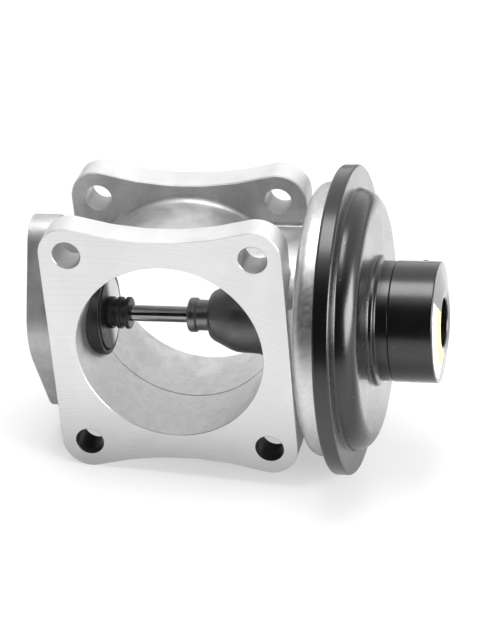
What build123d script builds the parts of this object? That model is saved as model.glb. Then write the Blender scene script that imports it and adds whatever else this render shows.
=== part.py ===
from build123d import *
import math
import os

# Vacuum-operated exhaust gas recirculation valve.
# A poppet valve crosses a cast duct and is pulled open by a diaphragm in a canister.
# Millimetres. +X runs along the stem from the exhaust port to the canister, +Y along the duct
# towards the manifold, +Z up. The origin is the duct's centre on the manifold face.

# Small edges and clearances that many pieces share
edge_break = 0.3
edge_round = 0.5
fold_round = 0.6
cut_past = 1.0
running_clearance = 0.03

# Duct and its two flanges
duct_bore_r = 29.0
duct_wall = 3.4
duct_length = 48.0
flange_thickness = 9.6
flange_side_land = 4.9
bolt_hole_r = 4.3
corner_r = 8.8
taller_by = 8.0
edge_sag = 4.0
cast_fillet = 2.9
cast_foot = 0.1
cast_edge = 0.9

# Seat ring in the exhaust port, and the head that closes it
seat_bore_r = 11.65
seat_sleeve_wall = 1.55
seat_flange_width = 4.7
seat_flange_thickness = 2.2
seat_sunk = 0.4
seat_lip_height = 1.75
seat_lip_width = 2.2
seat_pocket_depth = 2.5
seat_pocket_gap = 0.35
seat_reach = 21.1
head_overlap = 1.5
head_gap = 0.15
head_cone_short = 0.3
head_stand = 0.3

# Oval flange round the exhaust port
port_plate = 8.6
port_land = 1.4
port_end_r = 8.5
port_hole_out = 5.2
port_tap_r = 3.4
port_tap_depth = 14.0
port_tap_chamfer = 0.8
port_tap_point = 1.7
port_neck_step = 1.6
port_neck_reach = 15.0
port_neck_draft = 6.0

# Stem, and the grooved collar behind the head
stem_r = 2.5
stem_step = 0.5
collar_wall = 2.5
collar_groove = 0.7
collar_length = 6.8
collar_groove_count = 2

# Guide bush, and the boss that carries it into the duct
bush_wall = 2.3
bush_tip_wall = 2.9
bush_tip_length = 2.4
bush_tip_slope = 0.7
bush_tip_round = 0.8
bush_overhang = 6.8
bush_mouth_gap = 1.0
bush_mouth_depth = 3.0
boss_reach = 21.2
boss_nose_wall = 2.4
boss_nose_round = 1.2
boss_taper_length = 8.2
boss_taper_round = 7.0
boss_waist_wall = 6.6
boss_waist_draft = 0.2
boss_waist_length = 8.0
boss_root_wall = 10.2
boss_root_round = 4.0

# Pad for the canister, with the stem seal's pocket behind the bush
pad_r = 27.5
pad_stand = 3.4
pad_inset = 1.5
seal_wall = 5.5
seal_length = 3.8
seal_lip = 1.2
seal_back = 2.2
seal_hollow = 1.6
seal_recess = 2.6
retainer_thickness = 1.2
retainer_gap = 0.7
gasket_thickness = 0.6

# Countersunk screws between the pad and the dish
screw_count = 4
screw_first_angle = 45.0
screw_inset = 7.5
screw_r = 2.5
screw_length = 12.0
screw_hole_spare = 0.8
screw_socket_r = 1.5
screw_socket_depth = 1.2

# Black cover: its rim is rolled round the dish, and a neck is drawn from its top
cover_rim_r = 47.35
cover_sheet = 1.5
rim_wall = 1.15
rim_lip = 0.95
rim_lip_width = 3.25
rim_round = 0.9
rim_lip_round = 0.35
ring_width = 7.35
ring_crease = 0.8
cover_rise = 6.3
cover_shoulder = 6.0
neck_length = 5.8
neck_foot = 1.6
neck_foot_height = 1.4

# Plated dish under the cover
dish_sheet = 1.6
dish_depth = 8.3
dish_bend = 3.6
dish_wall_inset = 2.1
dish_flange_spare = 0.2
dish_hole_gap = 3.5
vent_r = 1.4
vent_inset = 3.0

# Diaphragm and its two plates
rubber = 1.0
plate_sheet = 1.2
plate_above_floor = 3.7
plate_lip = 1.0
plate_inset = 2.0
cup_wall = 2.0
fold_room = 10.4
fold_gap = 1.0
fold_height = 6.2
fold_outer_gap = 2.4
fold_crown = 1.0

# Spring cap with a blind, stepped socket in its end
cap_r = 18.5
cap_length = 14.8
cap_end = 2.2
cap_chamfer = 1.1
cap_seam = 0.35
cap_overhang = 0.2
cap_spigot_length = 5.4
cap_spigot_gap = 0.1
cap_wall = 2.1
socket_land = 10.95
socket_step = 0.45
socket_step_depth = 5.6
socket_depth = 11.6
socket_wall = 2.1
socket_mouth = 1.9
socket_mouth_depth = 0.35
socket_floor_round = 0.8
socket_outer_round = 1.2
seal_ring_r = 0.7
seal_ring_place = 2.7

# Return spring and the ring it pushes on
spring_wire_r = 1.0
spring_clearance = 1.3
spring_turns = 5.5
spring_seat_sheet = 1.2
spring_seat_lip = 1.6
spring_seat_gap = 0.3
spring_lip_gap = 0.2
spring_socket_gap = 0.8

# Nut and washer on the stem's threaded end
washer_wall = 2.6
washer_thickness = 0.8
nut_wall = 1.5
nut_height = 3.2
thread_spare = 1.0

# Vacuum nipple on the cap
nipple_r = 1.7
nipple_bore_r = 0.9
nipple_x = 3.5
nipple_short_of_rim = 10.35
nipple_foot_r = 2.7
nipple_foot_height = 1.2
nipple_foot_seat = 0.3
nipple_inset = 0.6

# Radii worked out from the sizes above
duct_outer_r = duct_bore_r + duct_wall
seat_sleeve_r = seat_bore_r + seat_sleeve_wall
seat_flange_r = seat_sleeve_r + seat_flange_width
seat_lip_r = seat_bore_r - seat_lip_height
head_r = seat_lip_r + head_overlap
port_centre_r = seat_flange_r + port_land
bush_r = stem_r + bush_wall
thread_r = stem_r - stem_step
seal_pocket_r = stem_r + seal_wall
screw_circle_r = pad_r - screw_inset
rim_inner_r = cover_rim_r - rim_wall
rim_lip_r = cover_rim_r - rim_lip_width
cover_wall_r = cover_rim_r - ring_width
dish_wall_r = rim_lip_r - dish_wall_inset
dish_inner_r = dish_wall_r - dish_sheet
cup_r = dish_inner_r - fold_room
neck_r = cap_r - cap_overhang
cap_spigot_r = neck_r - cover_sheet - cap_spigot_gap
cap_inner_r = cap_spigot_r - cap_wall
socket_r = cap_r - socket_land
spring_mean_r = cap_inner_r - spring_clearance - spring_wire_r

# Places worked out from the sizes above
stem_y = -duct_length / 2
flange_half_x = duct_outer_r + flange_side_land
bolt_x = flange_half_x - corner_r
bolt_z = bolt_x + taller_by / 2
port_tap_z = port_centre_r + port_hole_out
port_face_x = -flange_half_x - port_plate
seat_face_x = port_face_x + seat_sunk
seat_front_x = seat_face_x + seat_flange_thickness
seat_end_x = port_face_x + seat_reach
seat_step_x = seat_end_x - seat_pocket_depth
head_start_x = seat_step_x - head_overlap
head_face_x = seat_end_x + head_stand
boss_nose_x = duct_bore_r - boss_reach
pad_face_x = flange_half_x + pad_stand
bush_end_x = pad_face_x - seal_recess - retainer_thickness - seal_length
seal_end_x = bush_end_x + seal_length
floor_x = pad_face_x + gasket_thickness
floor_top_x = floor_x + dish_sheet
plate_x = floor_top_x + plate_above_floor
rubber_x = plate_x + plate_sheet
cup_x = rubber_x + rubber
washer_x = cup_x + plate_sheet
nut_x = washer_x + washer_thickness
stem_end_x = nut_x + nut_height + thread_spare
dish_flange_x = floor_x + dish_depth
clamp_x = dish_flange_x + dish_sheet
cover_ring_x = clamp_x + rubber + cover_sheet
cover_top_x = cover_ring_x + cover_rise
neck_end_x = cover_top_x + neck_length
cap_end_x = neck_end_x + cap_length
cap_inside_x = cap_end_x - cap_end
spring_seat_x = cap_inside_x - spring_seat_sheet
nipple_centre_x = neck_end_x + nipple_x


def section(*corners):
    """Closed outline in the XY plane from (x, radius, corner rounding) entries."""
    points = [(x, r) for x, r, _ in corners]
    rounds = [rounding for _, _, rounding in corners]
    return make_face(FilletPolyline(*points, radius=rounds, close=True))


def turned(*corners):
    """Piece turned about the stem's axis."""
    return Pos(0, stem_y, 0) * revolve(section(*corners), Axis.X)


def rod_x(radius, x0, x1, y=0.0, z=0.0):
    """Round bar along X, placed from the stem's axis."""
    return Pos((x0 + x1) / 2, stem_y + y, z) * Rot(0, 90, 0) * Cylinder(radius, x1 - x0)


def rod_y(radius, y0, y1, x=0.0, z=0.0):
    """Round bar along Y."""
    return Pos(x, (y0 + y1) / 2, z) * Rot(90, 0, 0) * Cylinder(radius, y1 - y0)


def screw_places():
    """Places (y, z) of the housing screws about the stem's axis."""
    angles = [math.radians(screw_first_angle + 360 * k / screw_count) for k in range(screw_count)]
    return [(screw_circle_r * math.cos(a), screw_circle_r * math.sin(a)) for a in angles]


# Casting

def flange():
    """Flange with corners round the bolt holes and hollowed top and bottom edges."""
    reach = (bolt_x**2 + edge_sag**2) / (2 * edge_sag)
    lean = math.degrees(math.asin(bolt_x / reach))
    half = [
        CenterArc((bolt_x, bolt_z), corner_r, 0, 90 + lean),
        CenterArc((0, bolt_z + reach - edge_sag), reach - corner_r, 270 + lean, -2 * lean),
        CenterArc((-bolt_x, bolt_z), corner_r, 90 - lean, 90 + lean),
        Line((-flange_half_x, bolt_z), (-flange_half_x, -bolt_z)),
    ]
    outline = make_face(half + [Rot(0, 0, 180) * edge for edge in half])
    slab = extrude(Plane.XZ * outline, flange_thickness)
    inner_face = slab.faces().sort_by(Axis.Y)[0]
    return fillet(inner_face.edges(), cast_edge)


def duct_tube():
    """Tube between the flanges, with a cast fillet at each end."""
    inner_r = duct_outer_r - duct_wall / 2
    foot_r = duct_outer_r + cast_fillet + cast_foot
    near, far = -duct_length + flange_thickness, -flange_thickness
    sunk = flange_thickness / 2
    profile = section(
        (inner_r, near - sunk, 0), (foot_r, near - sunk, 0), (foot_r, near, 0),
        (duct_outer_r, near, cast_fillet), (duct_outer_r, far, cast_fillet),
        (foot_r, far, 0), (foot_r, far + sunk, 0), (inner_r, far + sunk, 0),
    )
    return revolve(profile, Axis.Y)


def port_outline(inset=0.0):
    """Oval of the exhaust flange, in a plane that looks along the stem."""
    ends = [Pos(0, side * port_tap_z) * Circle(port_end_r - inset) for side in (1, -1)]
    shape = Circle(port_centre_r - inset) + ends
    return make_hull(shape.edges())


def exhaust_flange():
    """Oval plate on the flange sides, with a drafted neck behind it."""
    face_plane = Plane(origin=(port_face_x, stem_y, 0), x_dir=(0, 1, 0), z_dir=(1, 0, 0))
    plate = extrude(face_plane * port_outline(), port_plate)
    neck_plane = face_plane.offset(port_plate)
    return plate + extrude(neck_plane * port_outline(port_neck_step), port_neck_reach, taper=port_neck_draft)


def pad_outline(x0, x1):
    """Round of the canister's pad, flattened so that it stays inside the duct's length."""
    flats = Box(x1 - x0, duct_length - 2 * pad_inset, 2 * pad_r)
    return rod_x(pad_r, x0, x1) & Pos((x0 + x1) / 2, stem_y, 0) * flats


def guide_boss():
    """Bullet-shaped boss that carries the guide bush into the duct."""
    root_x = duct_bore_r + duct_wall / 2
    taper_x = boss_nose_x + boss_taper_length
    waist_r = bush_r + boss_waist_wall
    return turned(
        (boss_nose_x, 0, 0), (boss_nose_x, bush_r + boss_nose_wall, boss_nose_round),
        (taper_x, waist_r - boss_waist_draft, boss_taper_round),
        (taper_x + boss_waist_length, waist_r, boss_root_round),
        (root_x, bush_r + boss_root_wall, 0), (root_x, 0, 0),
    )


def tapped_hole(z):
    """Blind hole in the exhaust flange, with its drill point and chamfer."""
    start_x, bottom_x = port_face_x - cut_past, port_face_x + port_tap_depth
    tool = section(
        (start_x, 0, 0), (start_x, port_tap_r + port_tap_chamfer + cut_past, 0),
        (port_face_x + port_tap_chamfer, port_tap_r, 0), (bottom_x, port_tap_r, 0),
        (bottom_x + port_tap_point, 0, 0),
    )
    return Pos(0, stem_y, z) * revolve(tool, Axis.X)


def valve_body():
    """Casting with every hole cut to suit what it holds."""
    rear = flange()
    front = Pos(0, -duct_length, 0) * Rot(0, 0, 180) * rear
    casting = rear + front + duct_tube() + exhaust_flange() + pad_outline(duct_bore_r / 2, pad_face_x)
    casting -= rod_y(duct_bore_r, -duct_length - cut_past, cut_past)
    casting += guide_boss()

    for x in (-bolt_x, bolt_x):
        for z in (-bolt_z, bolt_z):
            casting -= rod_y(bolt_hole_r, -duct_length - cut_past, cut_past, x, z)

    casting -= rod_x(seat_flange_r, port_face_x - cut_past, seat_front_x)
    casting -= rod_x(seat_sleeve_r, port_face_x, -duct_bore_r / 2)
    casting -= [tapped_hole(side * port_tap_z) for side in (1, -1)]

    casting -= rod_x(bush_r, 0, pad_face_x)
    casting -= rod_x(seal_pocket_r, bush_end_x, pad_face_x + cut_past)
    screw_bottom_x = floor_top_x - screw_length - screw_hole_spare
    for y, z in screw_places():
        casting -= rod_x(screw_r, screw_bottom_x, pad_face_x + cut_past, y, z)
    return casting


# Exhaust side and poppet

def valve_seat():
    """Flanged sleeve, with a chamfered lip that the head closes on."""
    lip_back_x = head_start_x - seat_lip_width
    pocket_r = head_r + seat_pocket_gap
    return turned(
        (seat_face_x, seat_bore_r, edge_break), (seat_face_x, seat_flange_r, edge_break),
        (seat_front_x, seat_flange_r, 0), (seat_front_x, seat_sleeve_r, 0),
        (seat_end_x, seat_sleeve_r, edge_break), (seat_end_x, pocket_r, edge_break),
        (seat_step_x, pocket_r, 0), (seat_step_x, head_r, 0),
        (head_start_x, seat_lip_r, 0), (lip_back_x, seat_lip_r, 0),
        (lip_back_x - seat_lip_height, seat_bore_r, 0),
    )


def valve_head():
    """Disc with a conical edge that lies just off the seat's lip."""
    cone = head_overlap - head_cone_short
    base_x = seat_step_x + head_gap
    return turned(
        (base_x - cone, stem_r, 0), (base_x - cone, head_r - cone, 0), (base_x, head_r, 0),
        (head_face_x, head_r, edge_break), (head_face_x, stem_r, 0),
    )


def head_collar():
    """Collar with turned grooves, pressed on the stem behind the head."""
    outer_r = stem_r + collar_wall
    groove_r = outer_r - collar_groove
    pitch = collar_length / (2 * collar_groove_count + 1)
    end_x = head_face_x + collar_length
    corners = [(head_face_x, stem_r, 0), (head_face_x, outer_r, 0)]
    for k in range(collar_groove_count):
        x = head_face_x + (2 * k + 1) * pitch
        corners += [(x, outer_r, 0), (x, groove_r, 0), (x + pitch, groove_r, 0), (x + pitch, outer_r, 0)]
    corners += [(end_x, outer_r, edge_round), (end_x, stem_r, 0)]
    return turned(*corners)


def valve_stem():
    """Ground rod, stepped down to a thread for the plates and the nut."""
    return turned(
        (head_start_x, 0, 0), (head_start_x, stem_r, edge_break), (plate_x, stem_r, 0),
        (plate_x, thread_r, 0), (stem_end_x, thread_r, edge_break), (stem_end_x, 0, 0),
    )


def guide_bush():
    """Bush with a thicker tip, opened out round the stem at its mouth."""
    tip_x = boss_nose_x - bush_overhang
    tip_end_x = tip_x + bush_tip_length
    tip_r = stem_r + bush_tip_wall
    mouth_r = stem_r + bush_mouth_gap
    bore_r = stem_r + running_clearance
    return turned(
        (tip_x, mouth_r, 0), (tip_x, tip_r, bush_tip_round), (tip_end_x, tip_r, fold_round),
        (tip_end_x + bush_tip_slope, bush_r, 0), (bush_end_x, bush_r, 0), (bush_end_x, bore_r, 0),
        (tip_x + bush_mouth_depth, bore_r, 0), (tip_x + bush_mouth_depth, mouth_r, 0),
    )


def stem_seal():
    """Lip seal round the stem, behind the bush."""
    bore_r = stem_r + 2 * running_clearance
    return turned(
        (bush_end_x, bore_r, 0), (bush_end_x, seal_pocket_r, 0), (seal_end_x, seal_pocket_r, 0),
        (seal_end_x, bore_r + seal_back, edge_break), (bush_end_x + seal_hollow, bore_r + seal_lip, edge_break),
        (seal_end_x, bore_r, 0),
    )


def seal_retainer():
    """Washer pressed into the pocket over the seal."""
    end_x = seal_end_x + retainer_thickness
    hole = rod_x(stem_r + retainer_gap, seal_end_x - cut_past, end_x + cut_past)
    return rod_x(seal_pocket_r, seal_end_x, end_x) - hole


# Canister

def base_gasket():
    """Thin gasket in the outline of the pad."""
    sheet = pad_outline(pad_face_x, floor_x)
    sheet -= rod_x(seal_pocket_r, pad_face_x - cut_past, floor_x + cut_past)
    for y, z in screw_places():
        sheet -= rod_x(screw_r, pad_face_x - cut_past, floor_x + cut_past, y, z)
    return sheet


def screw_shape():
    """Countersunk screw about the stem's axis, its head flush inside the dish."""
    return turned(
        (floor_top_x - screw_length, 0, 0), (floor_top_x - screw_length, screw_r, 0),
        (floor_x, screw_r, 0), (floor_top_x, screw_r + dish_sheet, 0), (floor_top_x, 0, 0),
    )


def housing_screws():
    """Countersunk screws that hold the dish to the pad."""
    socket = rod_x(screw_socket_r, floor_top_x - screw_socket_depth, floor_top_x + cut_past)
    screw = screw_shape() - socket
    return [Pos(0, y, z) * screw for y, z in screw_places()]


def lower_housing():
    """Pressed dish: flat floor, round wall and a flat flange for the rolled rim."""
    hole_r = stem_r + dish_hole_gap
    flange_r = rim_inner_r - dish_flange_spare
    dish = turned(
        (floor_x, hole_r, 0), (floor_x, dish_wall_r, dish_bend), (dish_flange_x, dish_wall_r, fold_round),
        (dish_flange_x, flange_r, 0), (clamp_x, flange_r, 0), (clamp_x, dish_inner_r, fold_round + dish_sheet),
        (floor_top_x, dish_inner_r, dish_bend - dish_sheet), (floor_top_x, hole_r, 0),
    )
    for y, z in screw_places():
        dish -= Pos(0, y, z) * screw_shape()
    vent_y = dish_wall_r - dish_bend - vent_r - vent_inset
    return dish - rod_x(vent_r, floor_x - cut_past, floor_top_x + cut_past, vent_y)


def upper_housing():
    """Cover: rim rolled round the dish, shoulder, flat top and drawn neck, of one sheet."""
    foot_r = neck_r + neck_foot
    foot_x = cover_top_x + neck_foot_height
    inner_ring_x = cover_ring_x - cover_sheet
    inner_top_x = cover_top_x - cover_sheet
    inner_foot_x = foot_x - fold_round
    inner_wall_r = cover_wall_r - cover_sheet
    rim_x = dish_flange_x - rim_lip
    return turned(
        (neck_end_x, neck_r, edge_break), (foot_x + fold_round, neck_r, edge_round),
        (foot_x, foot_r, fold_round), (cover_top_x, foot_r, fold_round),
        (cover_top_x, cover_wall_r, cover_shoulder), (cover_ring_x, cover_wall_r, ring_crease),
        (cover_ring_x, cover_rim_r, rim_round), (rim_x, cover_rim_r, rim_round),
        (rim_x, rim_lip_r, rim_lip_round), (dish_flange_x, rim_lip_r, 0),
        (dish_flange_x, rim_inner_r, 0), (inner_ring_x, rim_inner_r, 0),
        (inner_ring_x, inner_wall_r, edge_break), (inner_top_x, inner_wall_r, cover_shoulder - cover_sheet),
        (inner_top_x, foot_r - cover_sheet, edge_round), (inner_foot_x, foot_r - cover_sheet, edge_break),
        (inner_foot_x, neck_r - cover_sheet, edge_break), (neck_end_x, neck_r - cover_sheet, edge_break),
    )


def diaphragm():
    """Rubber disc with one rolled fold between the plates and the rim."""
    top_x = cup_x + fold_height
    fold_in = cup_r + fold_gap + rubber
    fold_out = dish_inner_r - fold_outer_gap
    clamp_end_x = clamp_x + rubber
    under_x = top_x - rubber
    bend = fold_crown + rubber
    return turned(
        (rubber_x, thread_r, 0), (rubber_x, fold_in + rubber, bend), (under_x, fold_in + rubber, fold_crown),
        (under_x, fold_out - 3 * rubber, fold_crown), (clamp_x, fold_out - rubber, edge_round + rubber),
        (clamp_x, rim_inner_r, 0), (clamp_end_x, rim_inner_r, 0), (clamp_end_x, fold_out, edge_round),
        (top_x, fold_out - 2 * rubber, bend), (top_x, fold_in, bend),
        (cup_x, fold_in, fold_crown), (cup_x, thread_r, 0),
    )


def diaphragm_plate():
    """Lower plate, its edge turned down away from the rubber."""
    outer_r = cup_r - plate_inset
    lip_x = plate_x - plate_lip
    return turned(
        (plate_x, thread_r, 0), (plate_x, outer_r - plate_sheet, edge_break), (lip_x, outer_r - plate_sheet, 0),
        (lip_x, outer_r, 0), (rubber_x, outer_r, plate_sheet), (rubber_x, thread_r, 0),
    )


def piston_cup():
    """Upper plate, its edge turned up to guide the rubber."""
    wall_end_x = washer_x + cup_wall
    inner_r = cup_r - plate_sheet
    return turned(
        (cup_x, thread_r, 0), (cup_x, cup_r, plate_sheet + fold_round), (wall_end_x, cup_r, 0),
        (wall_end_x, inner_r, 0), (washer_x, inner_r, fold_round), (washer_x, thread_r, 0),
    )


def stem_washer():
    """Plain washer under the nut."""
    hole = rod_x(thread_r, washer_x - cut_past, nut_x + cut_past)
    return rod_x(thread_r + washer_wall, washer_x, nut_x) - hole


def stem_nut():
    """Hexagon nut on the stem's thread."""
    plane = Plane(origin=(nut_x, stem_y, 0), x_dir=(0, 1, 0), z_dir=(1, 0, 0))
    hexagon = RegularPolygon(thread_r + nut_wall, 6, major_radius=False)
    hole = rod_x(thread_r, nut_x - cut_past, nut_x + nut_height + cut_past)
    return extrude(plane * hexagon, nut_height) - hole


# Spring cap and what it holds

def spring_cap():
    """Cap with a spigot in the neck and a blind, stepped socket in its end."""
    spigot_x = neck_end_x - cap_spigot_length
    mouth_x = cap_end_x - socket_mouth_depth
    step_x = cap_end_x - socket_step_depth
    bottom_x = cap_end_x - socket_depth
    outer_r = socket_r + socket_wall
    inner_r = socket_r - socket_step
    cap = turned(
        (spigot_x, cap_inner_r, 0), (spigot_x, cap_spigot_r, edge_round), (neck_end_x, cap_spigot_r, 0),
        (neck_end_x, cap_r, cap_seam), (cap_end_x - cap_chamfer, cap_r, edge_round),
        (cap_end_x, cap_r - cap_chamfer, edge_round), (cap_end_x, socket_r + socket_mouth, edge_break),
        (mouth_x, socket_r + edge_break, 0), (mouth_x - edge_break, socket_r, 0),
        (step_x, socket_r, 0), (step_x, inner_r, 0), (bottom_x, inner_r, socket_floor_round),
        (bottom_x, 0, 0), (bottom_x - socket_wall, 0, 0), (bottom_x - socket_wall, outer_r, socket_outer_round),
        (cap_inside_x, outer_r, fold_round), (cap_inside_x, cap_inner_r, fold_round),
    )
    groove_x = spigot_x + seal_ring_place
    groove_r = cap_spigot_r + cap_spigot_gap - 2 * seal_ring_r
    groove = rod_x(cap_r, groove_x - seal_ring_r, groove_x + seal_ring_r)
    groove -= rod_x(groove_r, groove_x - cap_spigot_length, groove_x + cap_spigot_length)
    past_y = stem_y + cap_r + cut_past
    hole = rod_y(nipple_r, stem_y + (socket_r + cap_inner_r) / 2, past_y, nipple_centre_x)
    foot_seat = rod_y(nipple_foot_r, stem_y + cap_r - nipple_foot_seat, past_y, nipple_centre_x)
    return cap - groove - hole - foot_seat


def cap_seal():
    """Round rubber ring in the spigot's groove."""
    ring_r = neck_r - cover_sheet - seal_ring_r
    x = neck_end_x - cap_spigot_length + seal_ring_place
    return Pos(x, stem_y, 0) * Rot(0, 90, 0) * Torus(ring_r, seal_ring_r)


def spring_seat():
    """Ring between the spring and the cap's end, lipped to centre the coil."""
    hole_r = socket_r + socket_wall + spring_socket_gap
    lip_r = spring_mean_r - spring_wire_r - spring_lip_gap
    outer_r = cap_inner_r - spring_seat_gap
    lip_x = spring_seat_x - spring_seat_lip
    return turned(
        (spring_seat_x, lip_r, edge_break), (spring_seat_x, outer_r, 0), (cap_inside_x, outer_r, fold_round),
        (cap_inside_x, hole_r, 0), (lip_x, hole_r, 0), (lip_x, lip_r, 0),
    )


def return_spring():
    """Round-wire compression spring between the cup and the seat ring."""
    start_x = washer_x + spring_wire_r
    height = spring_seat_x - spring_wire_r - start_x
    path = Helix(height / spring_turns, height, spring_mean_r)
    wire = Plane(origin=path @ 0, z_dir=path % 0) * Circle(spring_wire_r)
    return Pos(start_x, stem_y, 0) * Rot(0, 90, 0) * sweep(wire, path)


def vacuum_nipple():
    """Steel tube on the cap's side, with a small foot and a rounded mouth."""
    base_r = cap_r - nipple_foot_seat
    inner_r = cap_inner_r - nipple_inset
    foot_end_r = cap_r + nipple_foot_height
    tip_r = cover_rim_r - nipple_short_of_rim
    tube = section(
        (nipple_bore_r, inner_r, 0), (nipple_r, inner_r, 0), (nipple_r, base_r, 0),
        (nipple_foot_r, base_r, 0), (nipple_foot_r, foot_end_r, edge_round),
        (nipple_r, foot_end_r, edge_break), (nipple_r, tip_r, edge_round), (nipple_bore_r, tip_r, 0),
    )
    return Pos(nipple_centre_x, stem_y, 0) * revolve(tube, Axis.Y)


def save(name, shape):
    """Write one node; a list of solids becomes one grouped node."""
    solids = [piece.solid() for piece in shape] if isinstance(shape, list) else shape.solids()
    node = solids[0] if len(solids) == 1 else Compound(label=name, children=solids)
    export_step(node, f"parts/{name}.step")


os.makedirs("parts", exist_ok=True)

pieces = {
    "valve_body": valve_body(),
    "valve_seat": valve_seat(),
    "guide_bush": guide_bush(),
    "stem_seal": stem_seal(),
    "seal_retainer": seal_retainer(),
    "base_gasket": base_gasket(),
    "lower_housing": lower_housing(),
    "housing_screws": housing_screws(),
    "upper_housing": upper_housing(),
    "spring_cap": spring_cap(),
    "cap_seal": cap_seal(),
    "spring_seat": spring_seat(),
    "return_spring": return_spring(),
    "vacuum_nipple": vacuum_nipple(),
    "diaphragm": diaphragm(),
    "diaphragm_plate": diaphragm_plate(),
    "piston_cup": piston_cup(),
    "stem_washer": stem_washer(),
    "stem_nut": stem_nut(),
    "valve_stem": valve_stem(),
    "valve_head": valve_head(),
    "head_collar": head_collar(),
}
for name, shape in pieces.items():
    save(name, shape)
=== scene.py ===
# %% [markdown]
# # Exhaust gas recirculation valve
#
# A vacuum canister pulls a poppet valve off its seat, and exhaust gas flows into an air duct.
# The CAD model gives every piece its place and its motion. This script gives each piece the
# surface that the real one shows: cast aluminium with milled faces, turned steel, a plated
# pressing and a satin black coating. Each cell adds one piece or one finish.

# %% Load the frame
import bmesh
import bpy
import cmath
import math
from mathutils import Matrix, Vector


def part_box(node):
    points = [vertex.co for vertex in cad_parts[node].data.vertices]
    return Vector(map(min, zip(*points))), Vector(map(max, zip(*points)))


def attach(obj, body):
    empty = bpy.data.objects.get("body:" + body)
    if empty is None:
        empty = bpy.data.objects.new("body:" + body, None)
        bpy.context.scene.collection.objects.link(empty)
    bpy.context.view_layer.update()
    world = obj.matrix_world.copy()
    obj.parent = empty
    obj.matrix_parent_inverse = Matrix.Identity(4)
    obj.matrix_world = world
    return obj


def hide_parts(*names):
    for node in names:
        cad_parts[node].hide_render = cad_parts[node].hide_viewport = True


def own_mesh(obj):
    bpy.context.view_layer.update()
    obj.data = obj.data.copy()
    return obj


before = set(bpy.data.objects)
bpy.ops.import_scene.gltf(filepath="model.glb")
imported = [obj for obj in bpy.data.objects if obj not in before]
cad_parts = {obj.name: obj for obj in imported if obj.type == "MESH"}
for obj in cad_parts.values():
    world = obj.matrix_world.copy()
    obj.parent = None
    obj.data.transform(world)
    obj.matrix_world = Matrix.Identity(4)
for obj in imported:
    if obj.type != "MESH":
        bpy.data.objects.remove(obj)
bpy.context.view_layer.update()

print("CAD nodes:", len(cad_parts))

# %% [markdown]
# ## Millimetres
#
# Blender works in metres and the drawing of a valve in millimetres. Outlines are therefore
# written in millimetres and scaled once, where a mesh is made. The places come from the boxes of
# the CAD nodes, so a piece can't drift from the solid that it stands for.

# %% Boxes of the nodes in millimetres
MM = 0.001


def extent(node):
    """Lowest and highest corner of a CAD node, in millimetres."""
    low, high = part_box(node)
    return low / MM, high / MM


stem_low, stem_high = extent("valve_stem")
body_low, body_high = extent("valve_body")
STEM_Y = (stem_low.y + stem_high.y) / 2
print("stem axis at y", round(STEM_Y, 2), "mm")

# %% [markdown]
# ## Small helpers for node trees
#
# Materials and Geometry Nodes are both graphs. One helper adds a node, sets its properties and
# fills its sockets, and a value that is itself a socket becomes a link. That keeps each finish
# below as short as its description.


# %% Node helpers
def fill(tree, socket, value):
    """Link a socket to another, or set its value."""
    if isinstance(value, bpy.types.NodeSocket):
        tree.links.new(value, socket)
    else:
        socket.default_value = value


def add(tree, kind, inputs=None, **settings):
    """One node; inputs are given by socket name or number."""
    node = tree.nodes.new(kind)
    for key, value in settings.items():
        setattr(node, key, value)
    for key, value in (inputs or {}).items():
        fill(tree, node.inputs[key], value)
    return node


def calc(tree, operation, *values):
    """Result of a Math node."""
    return add(tree, "ShaderNodeMath", dict(enumerate(values)), operation=operation).outputs[0]


def ramp(tree, value, start, end, low=0.0, high=1.0):
    """Smooth step of a value from low at start to high at end."""
    inputs = {"Value": value, "From Min": start, "From Max": end, "To Min": low, "To Max": high}
    return add(tree, "ShaderNodeMapRange", inputs, interpolation_type="SMOOTHSTEP").outputs[0]


def mix_colour(tree, factor, first, second):
    """Colour between two others."""
    node = add(tree, "ShaderNodeMix", {0: factor, 6: first, 7: second}, data_type="RGBA")
    return node.outputs[2]


def grey(level):
    """Neutral colour of one level, very slightly cool as bare metal is."""
    return (level, level, level * 1.01, 1.0)


# %% [markdown]
# ## Shared surface effects
#
# Four effects come back in many finishes: the grain of a casting, the lines that a tool leaves,
# the soft mottling of handled or plated metal, and a few specks. Each is a node group with named
# sockets. A group gives out masks and heights only, and every finish mixes its own colours.


# %% Group maker
def new_group(name, inputs, outputs):
    """Empty shader group with its input and output nodes."""
    group = bpy.data.node_groups.new(name, "ShaderNodeTree")
    for label, kind in inputs:
        group.interface.new_socket(label, in_out="INPUT", socket_type=kind)
    for label in outputs:
        group.interface.new_socket(label, in_out="OUTPUT", socket_type="NodeSocketFloat")
    return group, group.nodes.new("NodeGroupInput").outputs, group.nodes.new("NodeGroupOutput").inputs


VECTOR, FLOAT = "NodeSocketVector", "NodeSocketFloat"

# %% Cast grain: fine noise, softer lumps and small pits
cast_grain, given, result = new_group(
    "cast grain", [("Place", VECTOR), ("Grain", FLOAT)], ["Tone", "Height"])
fine_scale = calc(cast_grain, "DIVIDE", 1.0, given["Grain"])
lump_scale = calc(cast_grain, "MULTIPLY", fine_scale, 0.22)
pit_scale = calc(cast_grain, "MULTIPLY", fine_scale, 0.8)
fine = add(cast_grain, "ShaderNodeTexNoise", {"Vector": given["Place"], "Scale": fine_scale, "Detail": 3.0})
lumps = add(cast_grain, "ShaderNodeTexNoise", {"Vector": given["Place"], "Scale": lump_scale, "Detail": 2.0})
pits = add(cast_grain, "ShaderNodeTexVoronoi", {"Vector": given["Place"], "Scale": pit_scale})
pit_depth = ramp(cast_grain, pits.outputs["Distance"], 0.05, 0.4)
pit_part = calc(cast_grain, "MULTIPLY", pit_depth, 0.5)
surface_height = calc(cast_grain, "MULTIPLY_ADD", fine.outputs["Fac"], 1.0, pit_part)
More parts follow.
